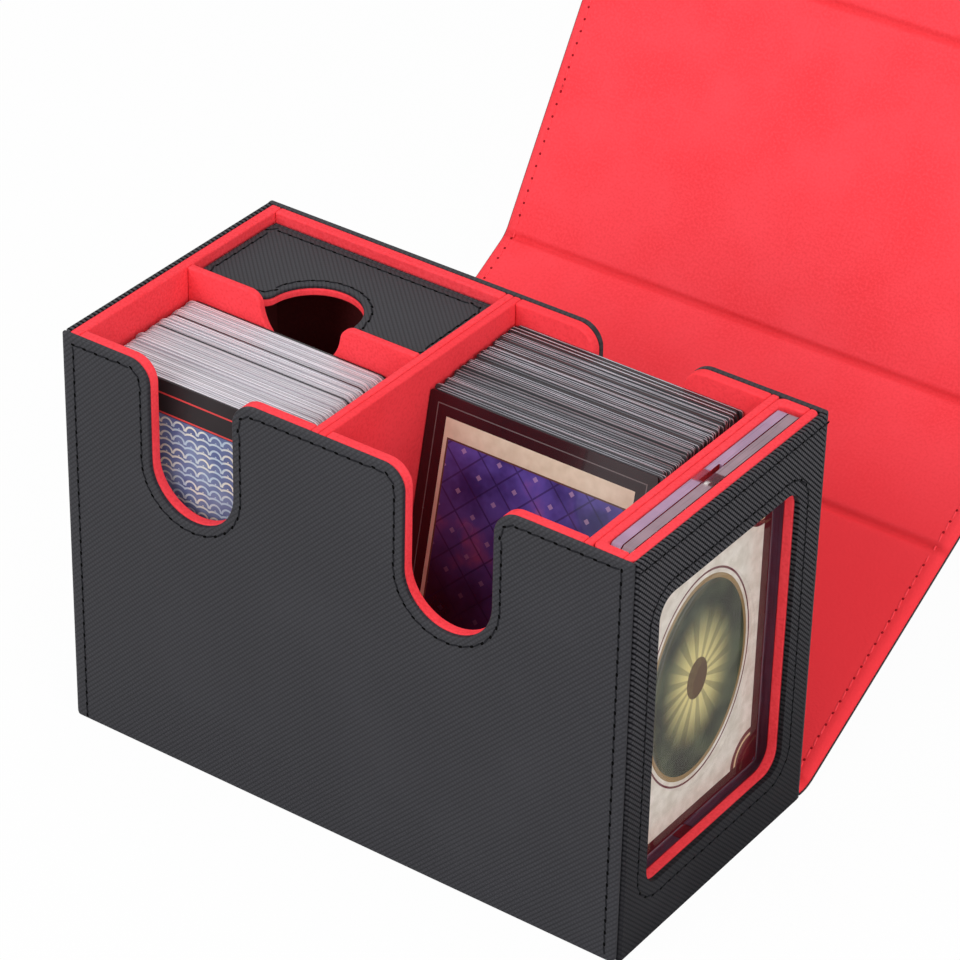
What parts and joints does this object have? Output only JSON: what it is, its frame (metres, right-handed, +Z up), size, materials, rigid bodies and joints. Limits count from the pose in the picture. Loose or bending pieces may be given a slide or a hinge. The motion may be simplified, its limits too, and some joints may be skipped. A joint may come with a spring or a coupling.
{
  "type": "card deck box",
  "caption": "Covered board box for card decks with a wrap-round flap, finger-notched bays, an accessory tray and a windowed slot for a clear card holder.",
  "frame": {"origin": "middle of the box's base, on the table", "axes": "+X along the front wall towards the window end, +Y from the front wall to the back wall, +Z up"},
  "size_m": [0.1758, 0.2821, 0.2027],
  "materials": {
    "black_leather": "satin",
    "red_suede": "matte",
    "clear_plastic": "gloss",
    "magnet_steel": "polished",
    "card_stock": "satin"
  },
  "bodies": {
    "box": {"base_cover": "black_leather", "base_board": "black_leather", "front_wall": "black_leather", "back_wall": "black_leather", "left_wall": "black_leather", "window_wall": "black_leather", "side_liner_left": "red_suede", "side_liner_front": "red_suede", "side_liner_back": "red_suede", "side_partition": "red_suede", "main_partition": "red_suede", "main_liner_front": "red_suede", "main_liner_back": "red_suede", "main_liner_right": "red_suede", "slot_liner": "red_suede", "window_liner": "red_suede", "cross_divider": "red_suede", "side_floor": "red_suede", "main_floor": "red_suede", "slot_floor": "red_suede", "side_risers": "black_leather", "main_risers": "black_leather", "wall_magnets": "magnet_steel", "hinge_bead": "black_leather"},
    "flap_lower": {"lower_cover": "black_leather", "lower_lining": "red_suede", "fold_bead": "red_suede"},
    "flap_upper": {"upper_cover": "black_leather", "upper_lining": "red_suede", "top_bead": "red_suede"},
    "flap_top": {"top_cover": "black_leather", "top_lining": "red_suede", "front_bead": "red_suede"},
    "flap_front": {"front_cover": "black_leather", "front_lining": "red_suede", "flap_magnets": "magnet_steel"},
    "tray": {"tray_back": "black_leather", "tray_top": "black_leather", "tray_bottom": "black_leather", "tray_left": "black_leather", "tray_right": "black_leather", "tray_lining_back": "red_suede", "tray_lining_top": "red_suede", "tray_lining_bottom": "red_suede", "tray_lining_left": "red_suede", "tray_lining_right": "red_suede"},
    "holder": {"holder_window_half": "clear_plastic", "holder_inner_half": "clear_plastic", "holder_magnet": "magnet_steel", "display_card": "card_stock"},
    "side_deck": {"side_cards": "card_stock"},
    "main_deck": {"main_cards": "card_stock"}
  },
  "joints": [
    {"name": "flap_hinge", "type": "hinge", "parent": "box", "child": "flap_lower", "pos_m": [0, 0.0467, 0.0016], "axis": [-1, 0, 0], "range_deg": [-61.3, 28.7]},
    {"name": "back_fold", "type": "hinge", "parent": "flap_lower", "child": "flap_upper", "pos_m": [0, 0.1145, 0.03872], "axis": [1, 0, 0], "range_deg": [0, 60]},
    {"name": "top_fold", "type": "hinge", "parent": "flap_upper", "child": "flap_top", "pos_m": [0, 0.15345, 0.06004], "axis": [-1, 0, 0], "range_deg": [-59.2, 30.8]},
    {"name": "front_fold", "type": "hinge", "parent": "flap_top", "child": "flap_front", "pos_m": [0, 0.20085, 0.14052], "axis": [-1, 0, 0], "range_deg": [-90, 0]},
    {"name": "tray_lift", "type": "slide", "parent": "box", "child": "tray", "axis": [0, 0, 1], "range_m": [0, 0.1]},
    {"name": "holder_lift", "type": "slide", "parent": "box", "child": "holder", "axis": [0, 0, 1], "range_m": [0, 0.11]},
    {"name": "side_deck_lift", "type": "slide", "parent": "box", "child": "side_deck", "axis": [0, 0, 1], "range_m": [0, 0.1]},
    {"name": "main_deck_lift", "type": "slide", "parent": "box", "child": "main_deck", "axis": [0, 0, 1], "range_m": [0, 0.1]}
  ]
}
